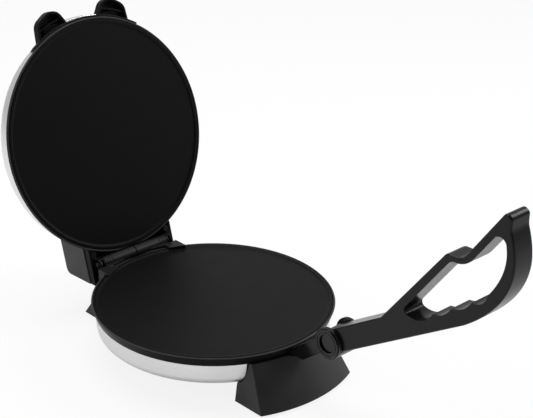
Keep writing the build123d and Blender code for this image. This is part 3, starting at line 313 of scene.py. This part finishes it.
def bakelite(name, lid=None):
    """Smooth dark bakelite of the bezels; a bezel's outer edge carries a painted highlight line."""
    finish = Finish(name, grey(0.0036), 0.34, Specular_IOR_Level=0.075)
    finish.tint(60.0, grey(0.003), grey(0.0042))
    if lid is not None:
        nodes = finish.nodes
        # painted highlight: a thin band at each bezel's outer top corner is painted lighter grey, in place
        # of light caught on its rounded edge
        radius, level = finish.round_plane(lid)[1:]
        near_face = nodes.math("LESS_THAN" if lid else "GREATER_THAN", level, HIGHLIGHT_BAND_LEVEL[lid])
        outer = nodes.math("GREATER_THAN", radius, BEZEL_RADIUS - HIGHLIGHT_BAND_IN)
        corner = nodes.math("MULTIPLY", outer, near_face)
        patchy = nodes.span(nodes.noise(finish.place, 90.0), 0.6, 1.0)
        finish.blend(nodes.math("MULTIPLY", corner, patchy), grey(0.060))
    # lighter edges here are partly wear and partly painted highlight lines on the bezel and ear edges
    finish.edge_wear_and_highlight(0.0007, grey(0.07), 0.35)
    finish.grain(420.0, 0.29, 0.39)
    finish.soft_edges(0.0006)
    return finish.texture(2600.0, 0.10, 0.00005)


def shell_plastic(name, level=0.021, gloss=0.45):
    """Fine-textured heat-resistant black plastic."""
    finish = Finish(name, grey(level), 0.42, Specular_IOR_Level=gloss)
    finish.tint(60.0, grey(level * 0.9), grey(level * 1.14))
    finish.edge_wear_and_highlight(0.0007, grey(0.05), 0.35)
    finish.grain(420.0, 0.36, 0.48)
    finish.soft_edges(0.0005)
    return finish.texture(2600.0, 0.14, 0.00005)


def gloss_plastic(name):
    """Semi-gloss moulded plastic with a slight orange peel."""
    finish = Finish(name, (0.0065, 0.0065, 0.0072), 0.24, Specular_IOR_Level=0.20)
    finish.tint(45.0, (0.0058, 0.0058, 0.0064), (0.0074, 0.0074, 0.0082))
    # lighter edges here are partly wear and partly painted highlight lines along the handle's edges
    finish.edge_wear_and_highlight(0.0008, grey(0.09), 0.4)
    finish.grain(160.0, 0.20, 0.30)
    finish.soft_edges(0.0013)
    return finish.texture(520.0, 0.05, 0.00008)


def polished_plastic(name):
    """Bright-moulded black plastic of the pivot, with sharp glints on its rings."""
    finish = Finish(name, grey(0.005), 0.13, Specular_IOR_Level=0.38)
    finish.tint(60.0, grey(0.004), grey(0.006))
    finish.edge_wear_and_highlight(0.0005, grey(0.05), 0.3)
    finish.grain(240.0, 0.10, 0.17)
    finish.soft_edges(0.0005)
    return finish.texture(700.0, 0.04, 0.00006)


def cover_plastic(name):
    """Satin grey-black plastic of the lid's rear cover, with a dark strip under its seam."""
    finish = Finish(name, grey(0.070), 0.40, Specular_IOR_Level=0.10)
    finish.tint(60.0, grey(0.064), grey(0.076))
    under_seam = finish.nodes.math("LESS_THAN", finish.round_plane(True)[2], COVER_SEAM)
    finish.blend(under_seam, grey(0.003))
    finish.edge_wear_and_highlight(0.0007, grey(0.09), 0.3)
    finish.grain(420.0, 0.36, 0.46)
    finish.soft_edges(0.0006)
    return finish.texture(2600.0, 0.12, 0.00005)


def rubber(name):
    """Moulded rubber with dusty patches."""
    finish = Finish(name, grey(0.018), 0.75, Specular_IOR_Level=0.3)
    finish.tint(90.0, grey(0.014), grey(0.026), 4.0)
    finish.grain(300.0, 0.68, 0.82)
    return finish.texture(1800.0, 0.25, 0.00006)


def plated_steel(name, level=0.55):
    """Zinc-plated steel with a mottled passivation."""
    finish = Finish(name, grey(level), 0.35, Metallic=1.0)
    finish.tint(420.0, grey(level * 0.86), (level, level * 1.01, level * 1.06), 4.0)
    finish.grain(500.0, 0.28, 0.44)
    return finish.texture(1400.0, 0.08, 0.00004)


def heated_steel(name):
    """Element tube, browned and blued by heat."""
    finish = Finish(name, (0.30, 0.27, 0.24), 0.45, Metallic=1.0)
    finish.tint(70.0, (0.34, 0.25, 0.17), (0.20, 0.20, 0.23), 4.0)
    finish.grain(300.0, 0.38, 0.55)
    return finish.texture(900.0, 0.15, 0.00006)


def moulded(name, colour, roughness=0.5):
    """Small moulded part."""
    finish = Finish(name, colour, roughness)
    finish.tint(150.0, tuple(0.92 * part for part in colour), colour)
    finish.grain(400.0, roughness - 0.06, roughness + 0.06)
    return finish.texture(1500.0, 0.10, 0.00005)


def lens(name, colour):
    """Tinted clear lens."""
    finish = Finish(name, colour, 0.06, Transmission_Weight=0.75, IOR=1.49)
    finish.grain(300.0, 0.04, 0.09)
    return finish.texture(700.0, 0.03, 0.00005)


def make_finishes():
    """Every material of the object, by slot."""
    return {
        "nonstick_plate": nonstick("nonstick_coat"),
        "silver_skin": brushed("brushed_skin", False),
        "black_shell": shell_plastic("textured_black_plastic"),
        "black_handle": gloss_plastic("gloss_black_plastic"),
        "rubber": rubber("moulded_rubber"),
        "zinc_steel": plated_steel("zinc_plated_steel"),
        "black_screw": plated_steel("black_oxide_steel", 0.035),
        "element_steel": heated_steel("heated_tube_steel"),
        "reflector_steel": plated_steel("aluminised_sheet", 0.60),
        "electrical_plastic": moulded("cream_moulding", (0.62, 0.58, 0.50)),
        "copper_lead": moulded("red_silicone_sleeve", (0.42, 0.03, 0.02)),
        "red_lens": lens("red_lens", (0.75, 0.03, 0.02)),
        "green_lens": lens("green_lens", (0.04, 0.55, 0.10)),
        "circuit_board": moulded("green_board", (0.03, 0.19, 0.08), 0.4),
        "bush": moulded("acetal", (0.72, 0.72, 0.68), 0.4),
    }


def paint_nodes():
    """Give every CAD node its finish."""
    finishes = make_finishes()
    special = {
        "lid_shell": brushed("brushed_lid", True),
        "lid_front_plate": brushed("brushed_badge", True),
        "lid_hinge_block": cover_plastic("satin_cover_plastic"),
        "base_hinge_bracket": shell_plastic("hinge_plastic", 0.009, 0.26),
        "lower_bezel": bakelite("base_bezel_bakelite", False),
        "upper_bezel": bakelite("lid_bezel_bakelite", True),
        "lid_grip_bracket": bakelite("ear_bakelite"),
    }
    polished = polished_plastic("polished_black")
    special.update(dict.fromkeys(("handle_bracket", "pivot_cap_left", "pivot_cap_right"), polished))
    for name, part in frame["nodes"].items():
        finish = special.get(name, finishes[SLOT_OF[name]])
        part.data.materials.clear()
        part.data.materials.append(finish.material)


# ---------------------------------------------------------------- studio
def make_floor():
    """Pale floor that shows white and still takes the object's shadow."""
    mesh = bpy.data.meshes.new("floor")
    half = FLOOR_SIZE / 2
    corners = [(-half, -half, 0), (half, -half, 0), (half, half, 0), (-half, half, 0)]
    mesh.from_pydata(corners, [], [(0, 1, 2, 3)])
    floor = bpy.data.objects.new("floor", mesh)
    bpy.context.scene.collection.objects.link(floor)
    material = bpy.data.materials.new("pale_floor")
    material.use_nodes = True
    tree = material.node_tree
    tree.nodes.clear()
    nodes = Nodes(tree)
    matt = nodes.add("ShaderNodeBsdfDiffuse")
    matt.inputs["Color"].default_value = FLOOR_COLOUR
    white = nodes.add("ShaderNodeEmission")
    blend = nodes.add("ShaderNodeMixShader")
    path = nodes.add("ShaderNodeLightPath")
    seen = nodes.math("MULTIPLY", path.outputs["Is Camera Ray"], FLOOR_WHITE_SHARE)
    mirrored = nodes.math("MULTIPLY", path.outputs["Is Glossy Ray"], FLOOR_GLOSS_SHARE)
    share = nodes.math("MAXIMUM", seen, mirrored)
    nodes.link(share, blend.inputs[0])
    nodes.link(matt.outputs[0], blend.inputs[1])
    nodes.link(white.outputs[0], blend.inputs[2])
    nodes.link(blend.outputs[0], nodes.add("ShaderNodeOutputMaterial").inputs["Surface"])
    mesh.materials.append(material)


def make_world():
    """Soft grey-white surround; the background itself shows white."""
    world = bpy.data.worlds.new("studio")
    bpy.context.scene.world = world
    world.use_nodes = True
    nodes = Nodes(world.node_tree)
    background = world.node_tree.nodes["Background"]
    towards = nodes.add("ShaderNodeVectorMath", operation="DOT_PRODUCT")
    nodes.link(nodes.add("ShaderNodeTexCoord").outputs["Generated"], towards.inputs[0])
    towards.inputs[1].default_value = BRIGHT_SIDE
    surround = nodes.add("ShaderNodeMapRange", interpolation_type="SMOOTHSTEP")
    for socket, value in zip(surround.inputs[1:5], (BRIGHT_FROM, BRIGHT_TO, WORLD_DARK, WORLD_BRIGHT)):
        socket.default_value = value
    nodes.link(towards.outputs["Value"], surround.inputs[0])
    seen = nodes.add("ShaderNodeLightPath").outputs["Is Camera Ray"]
    background.inputs["Color"].default_value = (1.0, 1.0, 1.0, 1.0)
    nodes.link(nodes.math("MAXIMUM", surround.outputs["Result"], seen), background.inputs["Strength"])


def make_lamps():
    """Soft boxes, aimed at the middle of the object."""
    for name, place, size, watts in LAMPS:
        lamp = bpy.data.objects.new(name, bpy.data.lights.new(name, "AREA"))
        lamp.data.shape = "DISK"
        lamp.data.size = size
        lamp.data.energy = watts
        away = Vector(place) - Vector(LAMP_AIM)
        lamp.matrix_world = Matrix.Translation(place) @ away.to_track_quat("Z", "Y").to_matrix().to_4x4()
        bpy.context.scene.collection.objects.link(lamp)


bpy.context.scene.view_settings.view_transform = "Standard"
make_camera()
make_world()
make_floor()
make_lamps()
paint_nodes()
